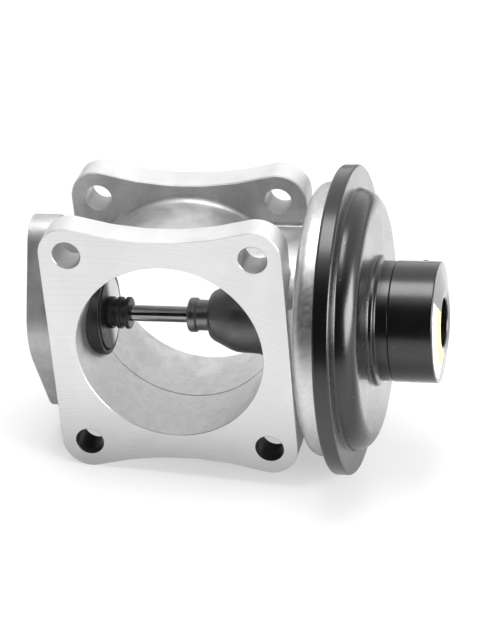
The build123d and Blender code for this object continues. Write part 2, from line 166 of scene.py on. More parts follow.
surface_height = calc(cast_grain, "MULTIPLY_ADD", lumps.outputs["Fac"], 0.8, surface_height)
fill(cast_grain, result["Height"], surface_height)
fill(cast_grain, result["Tone"], ramp(cast_grain, surface_height, 0.95, 1.65))
print("cast grain ready")

# %% Tool marks: lines whose spacing is the feed of the cutter
tool_marks, given, result = new_group(
    "tool marks", [("Place", VECTOR), ("Travel", FLOAT), ("Pitch", FLOAT)], ["Tone", "Height"])
wander = add(tool_marks, "ShaderNodeTexNoise", {"Vector": given["Place"], "Scale": 0.08, "Detail": 1.0})
step = calc(tool_marks, "DIVIDE", given["Travel"], given["Pitch"])
step = calc(tool_marks, "MULTIPLY_ADD", wander.outputs["Fac"], 0.8, step)
lines = add(tool_marks, "ShaderNodeTexNoise", {"W": step, "Scale": 1.0, "Detail": 2.5, "Roughness": 0.6},
            noise_dimensions="1D")
fill(tool_marks, result["Height"], lines.outputs["Fac"])
fill(tool_marks, result["Tone"], ramp(tool_marks, lines.outputs["Fac"], 0.3, 0.7))
print("tool marks ready")

# %% Mottling and specks
mottling, given, result = new_group("mottling", [("Place", VECTOR), ("Size", FLOAT)], ["Mask"])
patch_scale = calc(mottling, "DIVIDE", 1.0, given["Size"])
patches = add(mottling, "ShaderNodeTexNoise",
              {"Vector": given["Place"], "Scale": patch_scale, "Detail": 4.0, "Distortion": 0.6})
fill(mottling, result["Mask"], ramp(mottling, patches.outputs["Fac"], 0.34, 0.66))

specks, given, result = new_group(
    "specks", [("Place", VECTOR), ("Spacing", FLOAT), ("Size", FLOAT)], ["Mask"])
cell_scale = calc(specks, "DIVIDE", 1.0, given["Spacing"])
cells = add(specks, "ShaderNodeTexVoronoi", {"Vector": given["Place"], "Scale": cell_scale})
lucky = add(specks, "ShaderNodeSeparateColor", {"Color": cells.outputs["Color"]}).outputs[0]
dot = calc(specks, "LESS_THAN", cells.outputs["Distance"], given["Size"])
fill(specks, result["Mask"], calc(specks, "MULTIPLY", dot, calc(specks, "GREATER_THAN", lucky, 0.6)))
print("mottling and specks ready")

# %% [markdown]
# ## One recipe for a metal finish
#
# Every finish below answers the same questions: where on the piece is this point, which way did
# the tool travel, how light or dark does the metal get, and how rough. So one recipe builds the
# graph and each finish only brings its own answers. Numbers that don't vary over the surface are
# set on the shader itself.


# %% Place, radius and travel on a piece
def centred_place(tree, centre=(0.0, 0.0, 0.0)):
    """Object coordinates in millimetres from a centre."""
    coordinates = tree.nodes.new("ShaderNodeTexCoord").outputs["Object"]
    scaled = add(tree, "ShaderNodeVectorMath", {0: coordinates, "Scale": 1 / MM}, operation="SCALE")
    moved = add(tree, "ShaderNodeVectorMath", {0: scaled.outputs[0], 1: centre}, operation="SUBTRACT")
    return moved.outputs[0]


def parts_of(tree, vector):
    """X, Y and Z sockets of a vector."""
    return add(tree, "ShaderNodeSeparateXYZ", {0: vector}).outputs


def distance_from_axis(tree, first, second):
    """Length of two coordinates taken together."""
    squares = calc(tree, "ADD", calc(tree, "MULTIPLY", first, first), calc(tree, "MULTIPLY", second, second))
    return calc(tree, "SQRT", squares)


STEM = (0.0, STEM_Y, 0.0)


def stem_travel(tree, place):
    """Travel of a turning tool on a piece that turns about the stem: along it and out from it."""
    along, across, up = parts_of(tree, place)
    return calc(tree, "ADD", along, distance_from_axis(tree, across, up))


# %% The recipe
def finish(name, slot, levels, roughness, metallic, grain=None, marks=None, patches=9.0, bump=0.02,
           coat=0.0, travel=stem_travel):
    """Metal or rubber finish; levels and roughness are (least, most), grain to bump in mm."""
    material = bpy.data.materials.new(name)
    material.use_nodes = True
    material["slot"] = slot
    tree = material.node_tree
    surface = tree.nodes["Principled BSDF"]
    place = centred_place(tree, STEM)
    patch = add(tree, "ShaderNodeGroup", {}, node_tree=mottling)
    fill(tree, patch.inputs["Place"], place)
    fill(tree, patch.inputs["Size"], patches)
    tone, height = patch.outputs["Mask"], patch.outputs["Mask"]
    if marks:
        lines = add(tree, "ShaderNodeGroup", {}, node_tree=tool_marks)
        fill(tree, lines.inputs["Place"], place)
        fill(tree, lines.inputs["Travel"], travel(tree, place))
        fill(tree, lines.inputs["Pitch"], marks)
        tone = calc(tree, "MULTIPLY_ADD", lines.outputs["Tone"], 0.5, calc(tree, "MULTIPLY", tone, 0.5))
        height = lines.outputs["Height"]
    if grain:
        skin = add(tree, "ShaderNodeGroup", {}, node_tree=cast_grain)
        fill(tree, skin.inputs["Place"], place)
        fill(tree, skin.inputs["Grain"], grain)
        tone = calc(tree, "MULTIPLY_ADD", skin.outputs["Tone"], 0.45, calc(tree, "MULTIPLY", tone, 0.55))
        height = calc(tree, "ADD", skin.outputs["Height"], height) if marks else skin.outputs["Height"]
    colour = mix_colour(tree, tone, grey(levels[0]), grey(levels[1]))
    fill(tree, surface.inputs["Base Color"], colour)
    fill(tree, surface.inputs["Roughness"], ramp(tree, patch.outputs["Mask"], 0.0, 1.0, *roughness))
    relief = add(tree, "ShaderNodeBump", {"Height": height, "Strength": 1.0, "Distance": bump * MM})
    fill(tree, surface.inputs["Normal"], relief.outputs[0])
    surface.inputs["Metallic"].default_value = metallic
    surface.inputs["Coat Weight"].default_value = coat
    surface.inputs["Coat Roughness"].default_value = 0.25
    return material


# %% [markdown]
# ## Finishes of the casting
#
# The duct is cast aluminium, blasted to an even pale skin. A milling cutter then faced the two
# flanges and the exhaust port, and drills made the holes. Milled aluminium is brighter than the
# skin and has faint arcs, and the flanges' side walls have lines parallel to the face. The bore was
# left as the core formed it. Painted shade lies over this in two places: the boss is darker than
# the bore round it, and so are the lower flange holes. The painted shade fades in between two distances.

# %% Aluminium
# Painted shade on the boss and in the lower flange holes: where it fades and how dark it gets.
BOSS_FADE_R, BOSS_FADE_X, BOSS_SHADE_LEVEL = (15.5, 13.0), (2.0, 6.0), 0.17
LOW_HOLE_FADE, LOW_HOLE_SHADE_LEVEL = (-20.0, -28.0), 0.06


def arc_travel(tree, place):
    """Travel across the arcs that a face cutter leaves, about a centre far below the face."""
    along, across, up = parts_of(tree, place)
    return calc(tree, "ADD", distance_from_axis(tree, calc(tree, "ADD", along, 25.0),
                                                calc(tree, "ADD", up, 140.0)), across)


def side_travel(tree, place):
    """Travel across the side walls, which were milled parallel to the face."""
    return parts_of(tree, place)[1]


def paint_shade(material, mask, level):
    """Painted shade: darken the masked part of a finish to one level."""
    tree = material.node_tree
    colour_socket = tree.nodes["Principled BSDF"].inputs["Base Color"]
    clean = colour_socket.links[0].from_socket
    fill(tree, colour_socket, mix_colour(tree, mask, clean, grey(level)))


def paint_boss_shade(material):
    """Painted shade on the boss in the bore, from its root to its nose."""
    tree = material.node_tree
    along, across, up = parts_of(tree, centred_place(tree, STEM))
    near_stem = ramp(tree, distance_from_axis(tree, across, up), *BOSS_FADE_R)
    paint_shade(material, calc(tree, "MULTIPLY", near_stem, ramp(tree, along, *BOSS_FADE_X)), BOSS_SHADE_LEVEL)


def paint_low_hole_shade(material):
    """Painted shade that darkens the lower flange holes nearly to black."""
    tree = material.node_tree
    paint_shade(material, ramp(tree, parts_of(tree, centred_place(tree))[2], *LOW_HOLE_FADE), LOW_HOLE_SHADE_LEVEL)


cast_skin = finish("cast_skin", "cast_aluminium", (0.45, 0.62), (0.36, 0.46), 0.6, grain=0.7, bump=0.04)
milled_side = finish("milled_side", "cast_aluminium", (0.72, 0.84), (0.34, 0.44), 0.45, marks=0.5, bump=0.005,
                     travel=side_travel)
milled_face = finish("milled_face", "cast_aluminium", (0.68, 0.77), (0.3, 0.4), 0.9, marks=0.6, patches=14.0,
                     bump=0.002, travel=arc_travel)
drilled_wall = finish("drilled_wall", "cast_aluminium", (0.42, 0.62), (0.35, 0.5), 0.8, marks=0.35, bump=0.03)
paint_low_hole_shade(drilled_wall)
bore_wall = finish("bore_wall", "cast_aluminium", (0.54, 0.8), (0.38, 0.5), 0.9, grain=0.5, bump=0.04)
paint_boss_shade(bore_wall)
port_wall = finish("port_wall", "cast_aluminium", (0.2, 0.34), (0.5, 0.65), 0.8, marks=0.4, bump=0.03)
print("aluminium finishes ready")

# %% [markdown]
# ## Finishes of the steel pieces
#
# The seat and the collar run hot, so their steel is dark. The head is pale, with a painted dark
# reflection on the half towards the front flange. The stem is ground and the bush turned, both in a
# mid grey. The pressed dish is plated, which leaves a soft mottled sheen.

# %% Steel
HEAD_SHADE_FADE, HEAD_SHADE_LEVEL = (3.0, -2.0), 0.04
seat_steel = finish("seat_steel", "dark_steel", (0.03, 0.06), (0.38, 0.5), 0.85, marks=0.3, bump=0.02)
head_steel = finish("head_steel", "dark_steel", (0.6, 0.8), (0.4, 0.52), 0.85, marks=0.3, bump=0.02)
collar_steel = finish("collar_steel", "dark_steel", (0.02, 0.05), (0.35, 0.5), 0.6, marks=0.25, bump=0.015)
ground_steel = finish("ground_steel", "bright_steel", (0.22, 0.34), (0.14, 0.22), 1.0, marks=0.12, bump=0.003)
turned_steel = finish("turned_steel", "bright_steel", (0.15, 0.26), (0.25, 0.36), 0.9, marks=0.25, bump=0.01)
plated_steel = finish("plated_steel", "plated_steel", (0.56, 0.7), (0.36, 0.44), 0.9, grain=0.5, patches=1.5,
                      bump=0.006)
spring_steel = finish("spring_steel", "bright_steel", (0.35, 0.55), (0.3, 0.42), 0.9, patches=4.0, bump=0.01)
tree = head_steel.node_tree
# Painted dark reflection on the half of the head that faces the front flange.
paint_shade(head_steel, ramp(tree, parts_of(tree, centred_place(tree, STEM))[1], *HEAD_SHADE_FADE), HEAD_SHADE_LEVEL)
print("steel finishes ready")

# %% [markdown]
# ## Rubber and gasket
#
# Neither shines. The gasket's edge shows as a thin dark line between the pad and the dish.

# %% Rubber and fibre
seal_rubber = finish("seal_rubber", "seal_rubber", (0.02, 0.035), (0.6, 0.75), 0.0, grain=0.5, bump=0.02)
gasket_fibre = finish("gasket_fibre", "gasket_fibre", (0.14, 0.22), (0.8, 0.9), 0.0, grain=0.35, bump=0.03)

# %% [markdown]
# ## Black coating
#
# The cover and the cap are coated satin black. The coat evens out the metal, so there are no tool
# marks: only a very fine orange peel, a few dust specks, and soft reflections that grow stronger
# where the surface is seen at a glancing angle. On the cap's end
# somebody has dabbed a mark, yellow near the socket and white outside it. It lies on one side
# between two angles, and its edges are brushed, so noise shifts both the angle and the radius.


# %% Satin black
def satin_black(name):
    """Coated steel with a fine orange peel and a few specks of dust."""
    material = finish(name, "black_coating", (0.003, 0.005), (0.24, 0.3), 0.0, grain=0.9, patches=12.0,
                      bump=0.003, coat=1.0)
    tree = material.node_tree
    surface = tree.nodes["Principled BSDF"]
    dust = add(tree, "ShaderNodeGroup", {}, node_tree=specks)
    fill(tree, dust.inputs["Place"], centred_place(tree))
    fill(tree, dust.inputs["Spacing"], 4.0)
    fill(tree, dust.inputs["Size"], 0.045)
    glancing = tree.nodes.new("ShaderNodeLayerWeight").outputs["Facing"]
    fill(tree, surface.inputs["Specular IOR Level"], ramp(tree, glancing, 0.45, 0.8, 0.2, 0.4))
    coat_colour = surface.inputs["Base Color"].links[0].from_socket
    fill(tree, surface.inputs["Base Color"], mix_colour(tree, dust.outputs["Mask"], coat_colour, grey(0.3)))
    return material


cover_black = satin_black("cover_black")
cap_black = satin_black("cap_black")

# %% The dabbed mark on the cap's end
cap_low, cap_high = extent("spring_cap")
CONE_RISE = 1.4
MARK_ANGLES, ANGLE_BLUR, RADIUS_BLUR = (-0.95, 0.83), 0.02, 0.1
YELLOW_FROM, WHITE_FROM, WHITE_TO = 8.2, 13.6, 17.4

tree = cap_black.node_tree
surface = tree.nodes["Principled BSDF"]
place = centred_place(tree, STEM)
along, across, up = parts_of(tree, place)
ragged = add(tree, "ShaderNodeTexNoise", {"Vector": place, "Scale": 0.9, "Detail": 3.0}).outputs["Fac"]
shift = calc(tree, "MULTIPLY_ADD", ragged, 1.6, -0.8)
radius = calc(tree, "ADD", distance_from_axis(tree, across, up), calc(tree, "MULTIPLY", shift, 0.7))
angle = calc(tree, "ARCTAN2", up, calc(tree, "MULTIPLY", across, -1.0))
angle = calc(tree, "ADD", angle, calc(tree, "MULTIPLY", shift, 0.09))
mark = calc(tree, "MULTIPLY", ramp(tree, angle, MARK_ANGLES[0] - ANGLE_BLUR, MARK_ANGLES[0] + ANGLE_BLUR),
            ramp(tree, angle, MARK_ANGLES[1] + ANGLE_BLUR, MARK_ANGLES[1] - ANGLE_BLUR))
mark = calc(tree, "MULTIPLY", mark, ramp(tree, radius, YELLOW_FROM - RADIUS_BLUR, YELLOW_FROM + RADIUS_BLUR))
mark = calc(tree, "MULTIPLY", mark, ramp(tree, radius, WHITE_TO + RADIUS_BLUR, WHITE_TO - RADIUS_BLUR))
mark = calc(tree, "MULTIPLY", mark, calc(tree, "GREATER_THAN", along, cap_high.x - CONE_RISE))
white_part = ramp(tree, radius, WHITE_FROM - 0.35, WHITE_FROM + 0.35)
paint = mix_colour(tree, white_part, (0.95, 0.95, 0.3, 1.0), (0.96, 0.97, 0.94, 1.0))
bare_colour = surface.inputs["Base Color"].links[0].from_socket
bare_roughness = surface.inputs["Roughness"].links[0].from_socket
fill(tree, surface.inputs["Base Color"], mix_colour(tree, mark, bare_colour, paint))
dull_mark = calc(tree, "MULTIPLY", mark, 0.55)
fill(tree, surface.inputs["Roughness"], calc(tree, "MAXIMUM", bare_roughness, dull_mark))
fill(tree, surface.inputs["Coat Weight"], calc(tree, "SUBTRACT", 1.0, mark))
print("black coating ready, mark spans", round(math.degrees(MARK_ANGLES[1] - MARK_ANGLES[0])), "degrees")

# %% [markdown]
# ## Turned pieces
#
# Most of this valve was made on a lathe or drawn as a round pressing, and both are an outline that
# turns about an axis. An outline is a list of corners (along, out, rounding). The corners are
# rounded first, with complex numbers, because turning a vector is then one multiplication. Then
# the outline is turned in mesh code: a Screw or Spin modifier would do it too, but this way the
# seam and the poles are closed from the start.

# %% Rounded outlines
ARC_STEP = math.radians(9)


def rounded(corners):
    """Points of a closed outline, as complex numbers along + out*i."""
    points = []
    for k, (along, out, rounding) in enumerate(corners):
        corner = complex(along, out)
        if not rounding:
            points.append(corner)
            continue
        arriving = corner - complex(*corners[k - 1][:2])
        leaving = complex(*corners[(k + 1) % len(corners)][:2]) - corner
        arriving /= abs(arriving)
        turn = cmath.phase(leaving / arriving)
        start = corner - arriving * rounding * math.tan(abs(turn) / 2)
        centre = start + arriving * 1j * math.copysign(rounding, turn)
        steps = max(1, math.ceil(abs(turn) / ARC_STEP))
        points += [centre + (start - centre) * cmath.rect(1, turn * s / steps) for s in range(steps + 1)]
    return points


# %% Meshes from points in millimetres
def mesh_object(name, vertices, faces, material=None):
    """Object at the origin whose mesh is given in millimetres."""
    mesh = bpy.data.meshes.new(name)
    mesh.from_pydata([(x * MM, y * MM, z * MM) for x, y, z in vertices], [], faces)
    if material:
        mesh.materials.append(material)
    obj = bpy.data.objects.new(name, mesh)
    bpy.context.scene.collection.objects.link(obj)
    return obj


def on_axis(axis, along, across, up, centre):
    """Point from its place along an axis and its two coordinates beside it."""
    if axis == "X":
        return (along, centre[0] + across, centre[1] + up)
    return (centre[0] + up, along, centre[1] + across)


ROUND = 144
AT_STEM = (STEM_Y, 0.0)
AT_DUCT = (0.0, 0.0)


def lathe(name, outline, material=None, axis="X", centre=AT_STEM, segments=ROUND):
    """Turn a closed outline about an axis parallel to X or Y."""
    area = sum(a.real * b.imag - b.real * a.imag for a, b in zip(outline, outline[1:] + outline[:1]))
    vertices, rings = [], []
    for point in outline if area > 0 else outline[::-1]:
        first, count = len(vertices), 1 if point.imag < 1e-6 else segments
        for k in range(count):
            turn = cmath.rect(point.imag, 2 * math.pi * k / segments)
            vertices.append(on_axis(axis, point.real, turn.real, turn.imag, centre))
        rings.append([first + k % count for k in range(segments)])
    faces = []
    for near, far in zip(rings, rings[1:] + rings[:1]):
        for k in range(segments):
            j = (k + 1) % segments
            face = list(dict.fromkeys((near[k], far[k], far[j], near[j])))
            if len(face) > 2:
                faces.append(face)
    return mesh_object(name, vertices, faces, material)


# %% Baking, cutting and shading
def bake(obj):
    """Turn an object with modifiers into a plain mesh."""
    graph = bpy.context.evaluated_depsgraph_get()
    mesh = bpy.data.meshes.new_from_object(obj.evaluated_get(graph))
    obj.modifiers.clear()
    obj.data = mesh


def modify(obj, kind, **settings):
    """Add one modifier and bake it."""
    modifier = obj.modifiers.new(kind, kind)
    for key, value in settings.items():
        setattr(modifier, key, value)
    bake(obj)


def combine(obj, tool, operation="DIFFERENCE"):
    """Boolean of two closed meshes; new faces keep the tool's material, and the tool is used up."""
    modify(obj, "BOOLEAN", object=tool, operation=operation, solver="MANIFOLD", material_mode="TRANSFER")
    bpy.data.objects.remove(tool)


def shade(obj, sharp_degrees=28):
    """Smooth shading that stays flat on flat faces."""
    obj.data.shade_smooth()
    obj.data.set_sharp_from_angle(angle=math.radians(sharp_degrees))
    weighted = obj.modifiers.new("weighted normals", "WEIGHTED_NORMAL")
    weighted.keep_sharp = True


def fit(obj, body, *nodes):
    """Put a finished piece in the place of its CAD nodes, on their body."""
    shade(obj)
    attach(obj, body)
    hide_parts(*nodes)
    print(obj.name, len(obj.data.polygons), "faces")


# %% [markdown]
# ## The casting's outlines
#
# Both flanges have corners round the bolt holes and hollowed top and bottom edges. The exhaust
# flange is an oval drawn round three circles, and the canister's pad is a circle with two flats.
# Each outline is a list of points with their outward normals, so the same outline also gives the
# chamfer of the machined face: the points only move along their normals.


# %% Outlines with normals
def arc(centre, radius, start, end, outward=1):
    """Points and outward normals on an arc, angles in degrees."""
    steps = max(2, round(abs(end - start) / 6))
    turns = [cmath.rect(1, math.radians(start + (end - start) * k / steps)) for k in range(steps + 1)]
    return [(centre + radius * turn, outward * turn) for turn in turns]


def whole(half):
    """An outline that is the same when turned half a turn."""
    return half + [(-point, -normal) for point, normal in half]


BOLT_X, BOLT_Z = 28.5, 32.5
CORNER_R, EDGE_SAG = 8.8, 4.0
reach = (BOLT_X**2 + EDGE_SAG**2) / (2 * EDGE_SAG)
lean = math.degrees(math.asin(BOLT_X / reach))
flange_outline = whole(
    arc(complex(BOLT_X, BOLT_Z), CORNER_R, 0, 90 + lean)
    + arc(complex(0, BOLT_Z + reach - EDGE_SAG), reach - CORNER_R, 270 + lean, 270 - lean, outward=-1)
    + arc(complex(-BOLT_X, BOLT_Z), CORNER_R, 90 - lean, 180))

PORT_R, PORT_END_R, TAP_Z = 19.3, 8.5, 24.5
lean = math.degrees(math.acos((PORT_R - PORT_END_R) / TAP_Z))
port_outline = whole(
    arc(TAP_Z * 1j, PORT_END_R, 90 - lean, 90 + lean) + arc(0, PORT_R, 90 + lean, 270 - lean))

PAD_R, PAD_FLAT = 27.5, 22.5
lean = math.degrees(math.acos(PAD_FLAT / PAD_R))
pad_half = arc(0, PAD_R, lean, 180 - lean)
pad_outline = whole([(pad_half[0][0], 1)] + pad_half + [(pad_half[-1][0], -1)])
print("outlines:", len(flange_outline), len(port_outline), len(pad_outline), "points")


# %% Body through a stack of outlines
def loft(name, outline, stations, axis, material=None):
    """Closed body through one outline; a station is (place along the axis, offset along the normals)."""
    vertices, count = [], len(outline)
    for along, offset in stations:
        for point, normal in outline:
            moved = point + offset * normal
            if axis == "X":
                vertices.append((along, STEM_Y + moved.real, moved.imag))
            else:
                vertices.append((moved.real, along, moved.imag))
    faces = [list(range(count)), list(range(len(vertices) - count, len(vertices)))]
    for first in range(0, len(vertices) - count, count):
        for k in range(count):
            j = (k + 1) % count
            faces.append([first + k, first + j, first + count + j, first + count + k])
    obj = mesh_object(name, vertices, faces, material)
    shell = bmesh.new()
    shell.from_mesh(obj.data)
    bmesh.ops.recalc_face_normals(shell, faces=shell.faces)
    shell.to_mesh(obj.data)
    shell.free()
    return obj


# %% [markdown]
# ## The casting
#
# A foundry pours a blank that is a little too thick where it will be machined. The script does the
# same. The flanges, the tube, the port and the pad are joined and remeshed with small voxels, and
# a little smoothing then rounds every inner corner as a pattern's fillets do. Exact flanges are
# joined on after that, because a remeshed side wall would be too soft for a milled one. The skin is
# only cut afterwards, so machined faces stay flat and their edges crisp, and each cutter carries
# the finish that it leaves behind.

# %% The cast blank
FRONT, REAR = body_low.y, body_high.y
PORT_FACE, PAD_FACE = body_low.x, body_high.x
FLANGE, ALLOWANCE, VOXEL = 9.6, 1.5, 0.72
BORE_R, TUBE_R, TUBE_FILLET = 29.0, 32.4, 2.9


def remeshed(obj, size, smoothing):
    """One even skin round everything in an object, slightly smoothed."""
    modify(obj, "REMESH", mode="VOXEL", voxel_size=size * MM)
    modify(obj, "SMOOTH", factor=0.5, iterations=smoothing)


def joined(name, objects, material):
    """One object from several, in one material."""
    shell = bmesh.new()
    for obj in objects:
        shell.from_mesh(obj.data)
        bpy.data.objects.remove(obj)
    mesh = bpy.data.meshes.new(name)
    shell.to_mesh(mesh)
    shell.free()
    mesh.materials.append(material)
    whole_obj = bpy.data.objects.new(name, mesh)
    bpy.context.scene.collection.objects.link(whole_obj)
    return whole_obj


near, far = FRONT + FLANGE, REAR - FLANGE
foot_r, FOOT = TUBE_R + TUBE_FILLET + 0.1, 4
tube_outline = rounded([
    (near - FOOT, 0, 0), (near - FOOT, foot_r, 0), (near, foot_r, 0), (near, TUBE_R, TUBE_FILLET),
    (far, TUBE_R, TUBE_FILLET), (far, foot_r, 0), (far + FOOT, foot_r, 0), (far + FOOT, 0, 0)])
PLATE, INSIDE = 8.6, 0.6
plate_end = PORT_FACE + PLATE
blank = joined("valve_body_cast", [
    loft("rear", flange_outline, [(far, -INSIDE), (REAR + ALLOWANCE, -INSIDE)], "Y"),
    loft("front", flange_outline, [(FRONT - ALLOWANCE, -INSIDE), (near, -INSIDE)], "Y"),
    lathe("tube", tube_outline, axis="Y", centre=AT_DUCT),
    loft("plate", port_outline, [(PORT_FACE - ALLOWANCE, 0), (plate_end + 0.2, 0)], "X"),
    loft("neck", port_outline, [(plate_end - 1, -1.6), (plate_end + 15, -3.2)], "X"),
    loft("pad", pad_outline, [(BORE_R / 2, 0), (PAD_FACE + ALLOWANCE, 0)], "X"),
], cast_skin)
remeshed(blank, VOXEL, 4)

SIDE_BREAK, PROUD = 0.3, 0.1
for face, inner, inward in ((FRONT, near, 1), (REAR, far, -1)):
    stations = [(face - ALLOWANCE * inward, 0), (inner - SIDE_BREAK * inward, 0),
                (inner + PROUD * inward, -SIDE_BREAK - PROUD)]
    flange = loft("flange", flange_outline, stations, "Y", milled_side)
    flange.data.materials.append(cast_skin)
    flange.data.polygons[1].material_index = 1
    combine(blank, flange, "UNION")
print("blank:", len(blank.data.polygons), "faces")

# %% [markdown]
# ## The core
#
# The bore is the shape of a sand core, and the boss that carries the guide bush is a hollow in
# that core. So the core is made as a body of its own: a cylinder minus the boss, with the corner
# between them smoothed most, which becomes the broad fillet at the boss's root. A thin seam runs
# round the bore in the stem's plane, where the two halves of the core met.

# %% Core of the duct
boss_low, boss_high = extent("guide_bush")
BUSH_R, BUSH_OVERHANG = 4.8, 6.8
boss_nose = boss_low.x + BUSH_OVERHANG
boss_outline = rounded([
    (boss_nose, 0, 0), (boss_nose, 7.2, 1.2), (boss_nose + 8.2, 11.2, 7.0), (boss_nose + 16.2, 11.4, 4.0),
    (BORE_R + 1.7, 15.0, 0), (BORE_R + 1.7, 0, 0)])
core_outline = [complex(FRONT - 12, 0), complex(FRONT - 12, BORE_R), complex(REAR + 12, BORE_R),
                complex(REAR + 12, 0)]
core = lathe("core", core_outline, bore_wall, axis="Y", centre=AT_DUCT, segments=180)
combine(core, lathe("boss", boss_outline, bore_wall, segments=96))
modify(core, "REMESH", mode="VOXEL", voxel_size=0.8 * MM)

ROOT_R, ROOT_REACH = 13.0, 3.2
root = core.vertex_groups.new(name="root")
for vertex in core.data.vertices:
    x, y, z = vertex.co / MM
    from_wall = abs(math.hypot(x, z) - BORE_R)
    from_stem = math.hypot(y - STEM_Y, z)
    near_root = x > 0 and from_wall < ROOT_REACH and abs(from_stem - ROOT_R) < ROOT_REACH
    root.add([vertex.index], 1.0 if near_root else 0.0, "REPLACE")
modify(core, "SMOOTH", factor=0.5, iterations=6)
modify(core, "SMOOTH", factor=0.6, iterations=30, vertex_group="root")
combine(blank, core)
SEAM_HALF, SEAM_HEIGHT, SEAM_ROOT = 0.2, 0.12, 1.0
seam_outline = [
    complex(STEM_Y - SEAM_HALF, BORE_R - SEAM_HEIGHT), complex(STEM_Y + SEAM_HALF, BORE_R - SEAM_HEIGHT),
    complex(STEM_Y + SEAM_HALF, BORE_R + SEAM_ROOT), complex(STEM_Y - SEAM_HALF, BORE_R + SEAM_ROOT)]
combine(blank, lathe("seam", seam_outline, bore_wall, axis="Y", centre=AT_DUCT, segments=180), "UNION")
print("cored:", len(blank.data.polygons), "faces")

# %% [markdown]
# ## Machining the casting
#
# A face cutter is a body that keeps everything behind its plane. Its outline stands just inside
# the flange at the face and just outside it one step later, which breaks the edge all round, and
# then it opens far beyond the casting so that nothing else is touched. Drills are turned shapes.

# %% Milled faces
BREAK, WIDE = 0.2, 40.0


def keep_behind(outline, face, inward, far_end, axis):
    """Body that keeps what lies behind a face, with the face's edge broken."""
    stations = [(face, -BREAK), (face + 2 * BREAK * inward, BREAK), (face + 2.4 * BREAK * inward, WIDE),
                (far_end, WIDE)]
    keeper = loft("keep", outline, stations, axis, milled_face)
    keeper.data.materials.append(milled_side)
    for edge in keeper.data.polygons[2:2 + len(outline)]:
        edge.material_index = 1
    return keeper


combine(blank, keep_behind(flange_outline, FRONT, 1, REAR + 30, "Y"), "INTERSECT")
combine(blank, keep_behind(flange_outline, REAR, -1, FRONT - 30, "Y"), "INTERSECT")
combine(blank, keep_behind(port_outline, PORT_FACE, 1, 90, "X"), "INTERSECT")
combine(blank, keep_behind(pad_outline, PAD_FACE, -1, -90, "X"), "INTERSECT")
print("faces milled:", len(blank.data.polygons), "faces")

# %% Drilled and bored holes
HOLE_R, HOLE_BREAK = 4.3, 0.2
for x in (-BOLT_X, BOLT_X):
    for z in (-BOLT_Z, BOLT_Z):
        wide = HOLE_R + HOLE_BREAK + 2
        drill = [complex(FRONT - 2, 0), complex(FRONT - 2, wide), complex(FRONT + HOLE_BREAK, HOLE_R),
                 complex(REAR - HOLE_BREAK, HOLE_R), complex(REAR + 2, wide), complex(REAR + 2, 0)]
        combine(blank, lathe("drill", drill, drilled_wall, axis="Y", centre=(x, z), segments=56))

BORE_BREAK = 0.15
for face, inward in ((FRONT, 1), (REAR, -1)):
    ream = [complex(face - 2 * inward, 0), complex(face - 2 * inward, BORE_R + BORE_BREAK + 2),
            complex(face + (BORE_BREAK + 0.3) * inward, BORE_R - 0.3),
            complex(face + (BORE_BREAK + 0.3) * inward, 0)]
    combine(blank, lathe("ream", ream, milled_face, axis="Y", centre=AT_DUCT, segments=180))

SEAT_FLANGE_R, SLEEVE_R = 17.9, 13.2
seat_low, seat_high = extent("valve_seat")
seat_step = seat_low.x + 2.2
port_cut = [complex(PORT_FACE - 3, 0), complex(PORT_FACE - 3, SEAT_FLANGE_R + 0.03),
            complex(seat_step, SEAT_FLANGE_R + 0.03), complex(seat_step, SLEEVE_R + 0.02),
            complex(-BORE_R / 2, SLEEVE_R + 0.02), complex(-BORE_R / 2, 0)]
combine(blank, lathe("port_cut", port_cut, port_wall))

TAP_R, TAP_DEPTH, TAP_PITCH, THREAD = 3.4, 14.0, 1.25, 0.55
tap = [complex(PORT_FACE - 1, 0), complex(PORT_FACE - 1, 5.2), complex(PORT_FACE + 0.8, TAP_R)]
for k in range(9):
    start = PORT_FACE + 0.9 + k * TAP_PITCH
    tap += [complex(start, TAP_R), complex(start + 0.5 * TAP_PITCH, TAP_R + THREAD),
            complex(start + TAP_PITCH, TAP_R)]
tap += [complex(PORT_FACE + TAP_DEPTH, TAP_R), complex(PORT_FACE + TAP_DEPTH + 1.7, 0)]
tap = list(dict.fromkeys(tap))
for z in (-TAP_Z, TAP_Z):
    combine(blank, lathe("tap", tap, drilled_wall, centre=(STEM_Y, z), segments=64))

SEAL_R = 8.0
bush_cut = [complex(0, 0), complex(0, BUSH_R), complex(boss_high.x, BUSH_R), complex(boss_high.x, SEAL_R),
            complex(PAD_FACE + 1, SEAL_R), complex(PAD_FACE + 1, 0)]
combine(blank, lathe("bush_cut", bush_cut, drilled_wall))
SCREW_R, SCREW_CIRCLE, SCREW_LENGTH = 2.5, 20.0, 12.0
dish_low, dish_high = extent("lower_housing")
DISH_SHEET = 1.6
screw_top = dish_low.x + DISH_SHEET
screw_spots = [cmath.rect(SCREW_CIRCLE, math.radians(45 + 90 * k)) for k in range(4)]
for spot in screw_spots:
    screw_cut = [complex(screw_top - SCREW_LENGTH - 0.8, 0), complex(screw_top - SCREW_LENGTH - 0.8, SCREW_R),
                 complex(PAD_FACE + 1, SCREW_R), complex(PAD_FACE + 1, 0)]
    spot_centre = (STEM_Y + spot.real, spot.imag)
    combine(blank, lathe("screw_cut", screw_cut, drilled_wall, centre=spot_centre, segments=40))
fit(blank, "housing", "valve_body")

# %% [markdown]
# ## Seat, head and collar
#
# The seat is a flanged sleeve pressed into the port, with a lip that the head closes on. The head
# is a disc with a conical edge, and the collar behind it has two turned grooves. Their outlines
# follow the CAD piece by piece, so the clearances of the moving parts stay as they are there.

